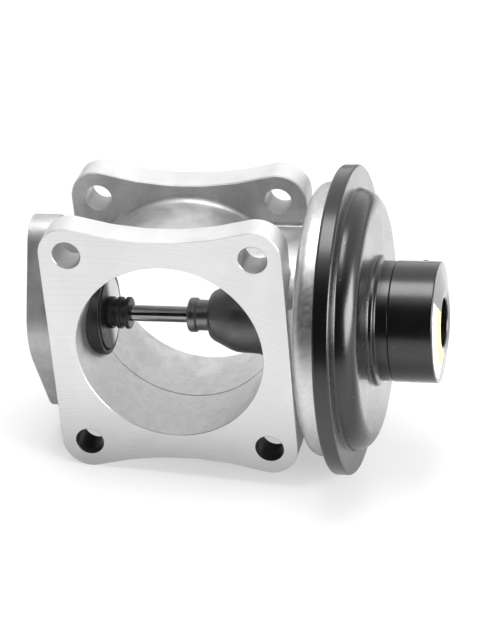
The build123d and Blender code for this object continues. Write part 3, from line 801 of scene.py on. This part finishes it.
# %% Exhaust seat
front, end = seat_low.x, seat_high.x
seat_outline = rounded([
    (front, 11.65, 0.3), (front, SEAT_FLANGE_R, 0.3), (seat_step, SEAT_FLANGE_R, 0), (seat_step, SLEEVE_R, 0),
    (end, SLEEVE_R, 0.3), (end, 11.75, 0.3), (end - 2.5, 11.75, 0), (end - 2.5, 11.4, 0),
    (end - 4.0, 9.9, 0), (end - 6.2, 9.9, 0), (end - 7.95, 11.65, 0)])
fit(lathe("valve_seat_turned", seat_outline, seat_steel), "housing", "valve_seat")

# %% Head and collar
head_low, head_high = extent("valve_head")
STEM_R = 2.5
head_outline = rounded([
    (head_low.x, STEM_R, 0), (head_low.x, 10.2, 0), (head_low.x + 1.2, 11.4, 0), (head_high.x, 11.4, 0.3),
    (head_high.x, STEM_R, 0)])
fit(lathe("valve_head_turned", head_outline, head_steel), "poppet", "valve_head")

collar_low, collar_high = extent("head_collar")
pitch = (collar_high.x - collar_low.x) / 5
COLLAR_R, GROOVE_R = 5.0, 4.3
corners = [(collar_low.x, STEM_R, 0), (collar_low.x, COLLAR_R, 0.15)]
for k in (1, 3):
    x = collar_low.x + k * pitch
    corners += [(x, COLLAR_R, 0.15), (x, GROOVE_R, 0.1),
                (x + pitch, GROOVE_R, 0.1), (x + pitch, COLLAR_R, 0.15)]
corners += [(collar_high.x, COLLAR_R, 0.5), (collar_high.x, STEM_R, 0)]
fit(lathe("head_collar_turned", rounded(corners), collar_steel, segments=96), "poppet", "head_collar")

# %% [markdown]
# ## Stem and guide bush
#
# The stem is a ground rod that steps down to a thread where the plates sit. The real thread would
# hide under the nut, and ring grooves of the same pitch look the same from any side.

# %% Stem
THREAD_R, PLATE_X = 2.0, 46.6
stem_corners = [(stem_low.x, 0, 0), (stem_low.x, STEM_R, 0.3), (PLATE_X, STEM_R, 0), (PLATE_X, THREAD_R, 0)]
THREAD_FROM, THREAD_PITCH, THREAD_DEPTH = 53.0, 0.5, 0.25
for k in range(int((stem_high.x - THREAD_FROM) / THREAD_PITCH)):
    x = THREAD_FROM + THREAD_PITCH * k
    stem_corners += [(x, THREAD_R, 0), (x + THREAD_PITCH / 2, THREAD_R - THREAD_DEPTH, 0)]
stem_corners += [(stem_high.x - 0.3, THREAD_R, 0), (stem_high.x, THREAD_R - 0.3, 0), (stem_high.x, 0, 0)]
fit(lathe("valve_stem_ground", rounded(stem_corners), ground_steel, segments=72), "poppet", "valve_stem")

# %% Guide bush
tip = boss_low.x
bush_outline = rounded([
    (tip, 3.5, 0.2), (tip, 5.4, 0.8), (tip + 2.4, 5.4, 0.6), (tip + 3.1, BUSH_R, 0), (boss_high.x, BUSH_R, 0),
    (boss_high.x, 2.53, 0), (tip + 3.0, 2.53, 0), (tip + 3.0, 3.5, 0)])
fit(lathe("guide_bush_turned", bush_outline, turned_steel, segments=96), "housing", "guide_bush")

# %% [markdown]
# ## Dish and cover
#
# The dish is pressed from plated sheet. The cover is drawn from one black sheet: its rim is rolled
# round the dish's flange, and its top rises through a shoulder to a neck. Both sheets have their
# real thickness.

# %% Plated dish
floor_x, clamp_x = dish_low.x, dish_high.x
dish_flange = clamp_x - DISH_SHEET
DISH_WALL_R, DISH_FLANGE_R, DISH_BEND = 42.0, 46.0, 3.6
dish_inner_r = DISH_WALL_R - DISH_SHEET
dish = lathe("lower_housing_pressed", rounded([
    (floor_x, 6.0, 0.2), (floor_x, DISH_WALL_R, DISH_BEND), (dish_flange, DISH_WALL_R, 0.6),
    (dish_flange, DISH_FLANGE_R, 0), (clamp_x, DISH_FLANGE_R, 0), (clamp_x, dish_inner_r, 2.2),
    (screw_top, dish_inner_r, 2.0), (screw_top, 6.0, 0.2)]), plated_steel, segments=180)
for spot in screw_spots:
    sink = [complex(floor_x - 1, 0), complex(floor_x - 1, SCREW_R), complex(floor_x, SCREW_R),
            complex(screw_top + 0.5, SCREW_R + DISH_SHEET + 0.5), complex(screw_top + 0.5, 0)]
    combine(dish, lathe("sink", sink, plated_steel, centre=(STEM_Y + spot.real, spot.imag), segments=48))
VENT_R, VENT_PLACE = 1.4, 34.0
vent = [complex(floor_x - 1, 0), complex(floor_x - 1, VENT_R), complex(screw_top + 1, VENT_R),
        complex(screw_top + 1, 0)]
combine(dish, lathe("vent", vent, plated_steel, centre=(STEM_Y + VENT_PLACE, 0), segments=32))
fit(dish, "housing", "lower_housing")

# %% Black cover
cover_low, cover_high = extent("upper_housing")
RIM_R, RIM_INNER_R, RIM_LIP_R, COVER_WALL_R, NECK_R, COVER_SHEET = 47.35, 46.2, 44.1, 40.0, 18.3, 1.5
ring_x, top_x, foot_x, neck_end = clamp_x + 2.5, clamp_x + 8.8, clamp_x + 10.2, cover_high.x
cover_outline = rounded([
    (neck_end, NECK_R, 0.3), (foot_x + 0.6, NECK_R, 0.5), (foot_x, NECK_R + 1.6, 0.6),
    (top_x, NECK_R + 1.6, 0.6), (top_x, COVER_WALL_R, 6.0), (ring_x, COVER_WALL_R, 0.8),
    (ring_x, RIM_R, 0.9), (cover_low.x, RIM_R, 0.9), (cover_low.x, RIM_LIP_R, 0.35),
    (dish_flange, RIM_LIP_R, 0), (dish_flange, RIM_INNER_R, 0), (ring_x - COVER_SHEET, RIM_INNER_R, 0),
    (ring_x - COVER_SHEET, COVER_WALL_R - COVER_SHEET, 0.3),
    (top_x - COVER_SHEET, COVER_WALL_R - COVER_SHEET, 4.5), (top_x - COVER_SHEET, NECK_R + 0.1, 0.5),
    (foot_x - 0.6, NECK_R + 0.1, 0.3), (foot_x - 0.6, NECK_R - COVER_SHEET, 0.3),
    (neck_end, NECK_R - COVER_SHEET, 0.3)])
fit(lathe("upper_housing_drawn", cover_outline, cover_black, segments=192), "housing", "upper_housing")

# %% [markdown]
# ## Spring cap and nipple
#
# The cap closes the neck. Its end is turned to a flat cone that rises to a shallow mouth, and a
# blind socket in two steps follows. Its spigot carries a round seal. The vacuum nipple is a plain
# steel tube with a small foot.

# %% Cap
cap_end = cap_high.x
cap_inside = cap_end - 2.2
seal_from, seal_to = cap_low.x + 2.0, cap_low.x + 3.4
CAP_R, SPIGOT_R, CAP_INNER_R, SOCKET_R = 18.5, 16.7, 14.6, 7.55
cap = lathe("spring_cap_turned", rounded([
    (cap_low.x, CAP_INNER_R, 0), (cap_low.x, SPIGOT_R, 0.5), (seal_from, SPIGOT_R, 0), (seal_from, 15.4, 0),
    (seal_to, 15.4, 0), (seal_to, SPIGOT_R, 0), (neck_end, SPIGOT_R, 0), (neck_end, CAP_R, 0.35),
    (cap_end - CONE_RISE, CAP_R, 0.5), (cap_end, SOCKET_R + 2.6, 0.5), (cap_end, SOCKET_R + 1.9, 0.2),
    (cap_end - 0.35, SOCKET_R + 0.3, 0), (cap_end - 0.65, SOCKET_R, 0), (cap_end - 5.6, SOCKET_R, 0),
    (cap_end - 5.6, SOCKET_R - 0.45, 0), (cap_end - 11.6, SOCKET_R - 0.45, 0.8), (cap_end - 11.6, 0, 0),
    (cap_end - 13.7, 0, 0), (cap_end - 13.7, SOCKET_R + 2.1, 1.2), (cap_inside, SOCKET_R + 2.1, 0.6),
    (cap_inside, CAP_INNER_R, 0.6)]), cap_black)

nipple_low, nipple_high = extent("vacuum_nipple")
NIPPLE_X, NIPPLE_R, FOOT_R = (nipple_low.x + nipple_high.x) / 2, 1.7, 2.7
AT_NIPPLE = (NIPPLE_X, 0.0)
foot_y = STEM_Y + CAP_R
for start, radius in ((STEM_Y + 11.0, NIPPLE_R), (foot_y - 0.3, FOOT_R)):
    hole = [complex(start, 0), complex(start, radius), complex(foot_y + 1, radius), complex(foot_y + 1, 0)]
    combine(cap, lathe("hole", hole, cap_black, axis="Y", centre=AT_NIPPLE, segments=48))
fit(cap, "housing", "spring_cap")

# %% Nipple
nipple_outline = rounded([
    (nipple_low.y, 0.9, 0), (nipple_low.y, NIPPLE_R, 0), (foot_y - 0.3, NIPPLE_R, 0),
    (foot_y - 0.3, FOOT_R, 0),
    (foot_y + 1.2, FOOT_R, 0.5), (foot_y + 1.2, NIPPLE_R, 0.3), (nipple_high.y, NIPPLE_R, 0.5),
    (nipple_high.y, 0.9, 0)])
fit(lathe("vacuum_nipple_tube", nipple_outline, turned_steel, axis="Y", centre=AT_NIPPLE, segments=72),
    "housing", "vacuum_nipple")

# %% [markdown]
# ## Pieces that repeat
#
# Four equal screws hold the dish, and the return spring is one wire that follows a helix. Both
# follow a rule, so Geometry Nodes make them: one tree sets a screw at each point of a circle, the
# other sweeps a round section along a spiral. The trees have named sizes, and their results
# become plain meshes.


# %% Tree helpers
def new_tree(name, sizes):
    """Geometry Nodes tree with named inputs and one geometry output."""
    tree = bpy.data.node_groups.new(name, "GeometryNodeTree")
    for label, kind in sizes:
        tree.interface.new_socket(label, in_out="INPUT", socket_type=kind)
    tree.interface.new_socket("Geometry", in_out="OUTPUT", socket_type="NodeSocketGeometry")
    return tree, tree.nodes.new("NodeGroupInput").outputs, tree.nodes.new("NodeGroupOutput").inputs


def grown(name, tree, sizes):
    """Piece that a tree makes, as a plain mesh."""
    obj = mesh_object(name, [], [])
    modifier = obj.modifiers.new(tree.name, "NODES")
    modifier.node_group = tree
    for item in tree.interface.items_tree:
        if item.in_out == "INPUT":
            modifier[item.identifier] = sizes[item.name]
    bake(obj)
    return obj


# %% Return spring
coil_tree, given, result = new_tree("coil", [
    ("Radius", FLOAT), ("Wire", FLOAT), ("Height", FLOAT), ("Turns", FLOAT), ("Start", VECTOR)])
spiral = add(coil_tree, "GeometryNodeCurveSpiral", {
    "Resolution": 40, "Rotations": given["Turns"], "Start Radius": given["Radius"],
    "End Radius": given["Radius"], "Height": given["Height"]})
section = add(coil_tree, "GeometryNodeCurvePrimitiveCircle", {"Resolution": 14, "Radius": given["Wire"]})
wire = add(coil_tree, "GeometryNodeCurveToMesh", {
    "Curve": spiral.outputs[0], "Profile Curve": section.outputs[0], "Fill Caps": True})
placed = add(coil_tree, "GeometryNodeTransform", {
    "Geometry": wire.outputs[0], "Translation": given["Start"], "Rotation": (0.0, math.pi / 2, 0.0)})
real = add(coil_tree, "GeometryNodeRealizeInstances", {"Geometry": placed.outputs[0]})
painted = add(coil_tree, "GeometryNodeSetMaterial", {"Geometry": real.outputs[0], "Material": spring_steel})
fill(coil_tree, result["Geometry"], painted.outputs[0])

WIRE_R, COIL_R, COIL_TURNS = 1.0, 12.3, 5.5
COIL_START, COIL_END = 51.0, 76.2
spring = grown("return_spring_coil", coil_tree, {
    "Radius": COIL_R * MM, "Wire": WIRE_R * MM, "Height": (COIL_END - COIL_START) * MM, "Turns": COIL_TURNS,
    "Start": (COIL_START * MM, STEM_Y * MM, 0.0)})
shade(spring, 50)
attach(spring, "housing")
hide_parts("return_spring")
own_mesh(spring)

# %% Housing screws
screw_tree, given, result = new_tree("screws in a circle", [
    ("Screw", "NodeSocketObject"), ("Count", "NodeSocketInt"), ("Circle", FLOAT), ("Centre", VECTOR)])
spots = add(screw_tree, "GeometryNodeMeshCircle", {"Vertices": given["Count"], "Radius": given["Circle"]})
turned = add(screw_tree, "GeometryNodeTransform", {
    "Geometry": spots.outputs[0], "Rotation": (0.0, 0.0, math.pi / 4)})
facing = add(screw_tree, "GeometryNodeTransform", {
    "Geometry": turned.outputs[0], "Translation": given["Centre"], "Rotation": (0.0, math.pi / 2, 0.0)})
screw_shape = add(screw_tree, "GeometryNodeObjectInfo", {"Object": given["Screw"]})
set_screws = add(screw_tree, "GeometryNodeInstanceOnPoints", {
    "Points": facing.outputs[0], "Instance": screw_shape.outputs["Geometry"]})
real = add(screw_tree, "GeometryNodeRealizeInstances", {"Geometry": set_screws.outputs[0]})
painted = add(screw_tree, "GeometryNodeSetMaterial", {"Geometry": real.outputs[0], "Material": plated_steel})
fill(screw_tree, result["Geometry"], painted.outputs[0])

socket = [complex(-1.2, 0), complex(-1.2, 1.5), complex(1, 1.5), complex(1, 0)]
one_screw = lathe("one_screw", rounded([
    (-SCREW_LENGTH, 0, 0), (-SCREW_LENGTH, SCREW_R, 0.4), (-DISH_SHEET, SCREW_R, 0),
    (0, SCREW_R + DISH_SHEET, 0), (0, 0, 0)]), plated_steel, centre=(0, 0), segments=48)
combine(one_screw, lathe("socket", socket, plated_steel, centre=(0, 0), segments=6))
screws = grown("housing_screws_set", screw_tree, {
    "Screw": one_screw, "Count": 4, "Circle": SCREW_CIRCLE * MM,
    "Centre": (screw_top * MM, STEM_Y * MM, 0.0)})
bpy.data.objects.remove(one_screw)
fit(screws, "housing", "housing_screws")

# %% [markdown]
# ## Pieces that keep their CAD shape
#
# The pieces inside the canister are plain pressings, rings and rubber whose solid is already
# right. They keep it and get a finish.

# %% Finishes for the inner pieces
inner_finishes = {
    "stem_seal": seal_rubber, "cap_seal": seal_rubber, "diaphragm": seal_rubber, "base_gasket": gasket_fibre,
    "seal_retainer": plated_steel, "spring_seat": plated_steel, "diaphragm_plate": plated_steel,
    "piston_cup": plated_steel, "stem_washer": plated_steel, "stem_nut": plated_steel}
for node, material in inner_finishes.items():
    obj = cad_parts[node]
    if obj.material_slots:
        obj.material_slots[0].material = material
    else:
        obj.data.materials.append(material)
print("inner pieces finished:", len(inner_finishes))

# %% [markdown]
# ## Floor
#
# The valve lies on its lower flange corners and the canister's rim, so it leans by a few degrees.
# The camera, the lamps and the floor share the frame of the CAD model, where the valve is
# straight, so the floor leans instead. Its slope follows from the two circles that touch it.
#
# The camera sees a white floor. Near the valve half of that white is paint, which takes the
# shadow, and half is glow; further off it is all glow, so no horizon shows. In the metal the floor
# is bright near the valve and fades to black with distance, and under the front it carries a painted shadow.

# %% Where the floor lies
rim_centre, flange_corner = complex((cover_low.x + ring_x) / 2, 0.0), complex(-BOLT_X, -BOLT_Z)
away = rim_centre - flange_corner
slope = cmath.phase(away) + math.acos((RIM_R - CORNER_R) / abs(away)) - math.pi / 2
touch = rim_centre + RIM_R * complex(math.sin(slope), -math.cos(slope))
print("floor slope:", round(math.degrees(slope), 2), "degrees, touches the rim at", touch)

# %% Pale floor
bpy.ops.mesh.primitive_plane_add(size=6.0)
floor = bpy.context.object
floor.name = "floor"
floor.location = Vector((touch.real, STEM_Y, touch.imag)) * MM
floor.rotation_euler = (0.0, -slope, 0.0)
floor_paint = bpy.data.materials.new("floor_paint")
floor_paint.use_nodes = True
tree = floor_paint.node_tree
tree.nodes.clear()
seen = tree.nodes.new("ShaderNodeLightPath").outputs
across, along_floor, _ = parts_of(tree, tree.nodes.new("ShaderNodeTexCoord").outputs["Object"])
MIRROR_FADE, SHADOW_FADE = (0.9, 0.1), (0.8, 0.3)
FRONT_FROM, FRONT_TO, FRONT_SHADOW_LOSS = (-0.075, -0.03), (0.04, -0.01), 0.4
PALE, MIRROR_GLOW, CAMERA_PAINT = 0.68, 0.32, 0.5
from_middle = distance_from_axis(tree, across, along_floor)
nearby = ramp(tree, from_middle, *MIRROR_FADE)
lit = calc(tree, "MULTIPLY", ramp(tree, from_middle, *SHADOW_FADE), CAMERA_PAINT)
# Painted shadow under the valve's front, seen only in the metal.
painted_front_shadow = calc(tree, "MULTIPLY", ramp(tree, along_floor, *FRONT_FROM), ramp(tree, along_floor, *FRONT_TO))
nearby = calc(tree, "MULTIPLY", nearby, calc(tree, "MULTIPLY_ADD", painted_front_shadow, -FRONT_SHADOW_LOSS, 1.0))
mirrored = calc(tree, "MULTIPLY", seen["Is Glossy Ray"], calc(tree, "SUBTRACT", 1.0, nearby))
shown = calc(tree, "MULTIPLY", calc(tree, "MULTIPLY", seen["Is Glossy Ray"], nearby), MIRROR_GLOW)
shown = calc(tree, "MULTIPLY_ADD", seen["Is Camera Ray"], calc(tree, "SUBTRACT", 1.0, lit), shown)
paint = mix_colour(tree, mirrored, (PALE, PALE, PALE, 1.0), (0.0, 0.0, 0.0, 1.0))
lit_paint = tree.nodes.new("ShaderNodeCombineColor")
for socket in lit_paint.inputs:
    tree.links.new(lit, socket)
paint = mix_colour(tree, seen["Is Camera Ray"], paint, lit_paint.outputs[0])
diffuse = add(tree, "ShaderNodeBsdfDiffuse", {"Color": paint})
glow = add(tree, "ShaderNodeEmission", {"Color": (1.0, 1.0, 1.0, 1.0), "Strength": shown})
both = add(tree, "ShaderNodeAddShader", {0: diffuse.outputs[0], 1: glow.outputs[0]})
add(tree, "ShaderNodeOutputMaterial", {"Surface": both.outputs[0]})
floor.data.materials.append(floor_paint)

# %% [markdown]
# ## Light
#
# A metal part is lit by what it mirrors. The studio is therefore a world with a bright ceiling and
# backdrop and a dark side behind the camera, which keeps the black canister black. Two soft lamps
# add shape: one above, and a low one on the right whose image lies along the cover's shoulder and
# which lights the cap's end. The camera itself sees plain white.

# %% Studio world
world = bpy.data.worlds.new("studio")
bpy.context.scene.world = world
world.use_nodes = True
tree = world.node_tree
tree.nodes.clear()
FRONT_DARK, TOP_BRIGHT, CEILING, FRONT_DROP = (0.1, -0.35), (0.93, 0.82), 0.9, 0.88
heading = parts_of(tree, tree.nodes.new("ShaderNodeTexCoord").outputs["Generated"])
to_front = ramp(tree, heading[1], *FRONT_DARK)
below_top = ramp(tree, heading[2], *TOP_BRIGHT)
level = calc(tree, "MULTIPLY", to_front, below_top)
level = calc(tree, "MULTIPLY_ADD", level, -FRONT_DROP, CEILING)
seen = tree.nodes.new("ShaderNodeLightPath").outputs["Is Camera Ray"]
level = calc(tree, "MAXIMUM", level, seen)
background = add(tree, "ShaderNodeBackground", {"Color": (1.0, 1.0, 1.0, 1.0), "Strength": level})
add(tree, "ShaderNodeOutputWorld", {"Surface": background.outputs[0]})


# %% Soft lamps
def lamp(name, direction, distance, width, height, radiance):
    """Soft lamp that faces the valve; sizes in metres, radiance is the brightness of its surface."""
    data = bpy.data.lights.new(name, "AREA")
    data.shape, data.size, data.size_y = "RECTANGLE", width, height
    data.energy = radiance * math.pi * width * height
    obj = bpy.data.objects.new(name, data)
    bpy.context.scene.collection.objects.link(obj)
    toward = Vector(direction).normalized()
    obj.location = Vector((0.01, -0.024, 0.0)) + toward * distance
    obj.rotation_euler = toward.to_track_quat("Z", "Y").to_euler()


lamp("top", (0.0, 0.05, 1.0), 1.5, 0.75, 0.75, 7.0)
lamp("right", (0.95, -0.25, 0.22), 1.2, 1.0, 0.6, 11.0)
print("lamps ready")

# %% [markdown]
# ## Camera
#
# The camera stands where the photographer stood: its azimuth, elevation, roll and distance were
# fitted to the flange, the bore and the canister's rings. The lens is long, so parallel edges
# hardly converge.

# %% Camera of the photograph
AZIMUTH, ELEVATION, ROLL = (math.radians(value) for value in (14.7307, 28.8198, -5.4546))
TARGET, DISTANCE = Vector((16.061, -21.396, -2.846)) * MM, 810.47 * MM
back = Vector((math.sin(AZIMUTH) * math.cos(ELEVATION), -math.cos(AZIMUTH) * math.cos(ELEVATION),
               math.sin(ELEVATION)))
level = Vector((math.cos(AZIMUTH), math.sin(AZIMUTH), 0.0))
upright = back.cross(level)
right = level * math.cos(ROLL) + upright * math.sin(ROLL)
up = upright * math.cos(ROLL) - level * math.sin(ROLL)
camera_data = bpy.data.cameras.new("camera")
camera_data.sensor_width, camera_data.lens = 36.0, 147.37
camera_data.clip_start, camera_data.clip_end = 0.05, 20.0
camera = bpy.data.objects.new("camera", camera_data)
bpy.context.scene.collection.objects.link(camera)
place = TARGET + back * DISTANCE
camera.matrix_world = Matrix((
    (right.x, up.x, back.x, place.x), (right.y, up.y, back.y, place.y), (right.z, up.z, back.z, place.z),
    (0.0, 0.0, 0.0, 1.0)))
bpy.context.scene.camera = camera
bpy.context.scene.view_settings.view_transform = "Standard"
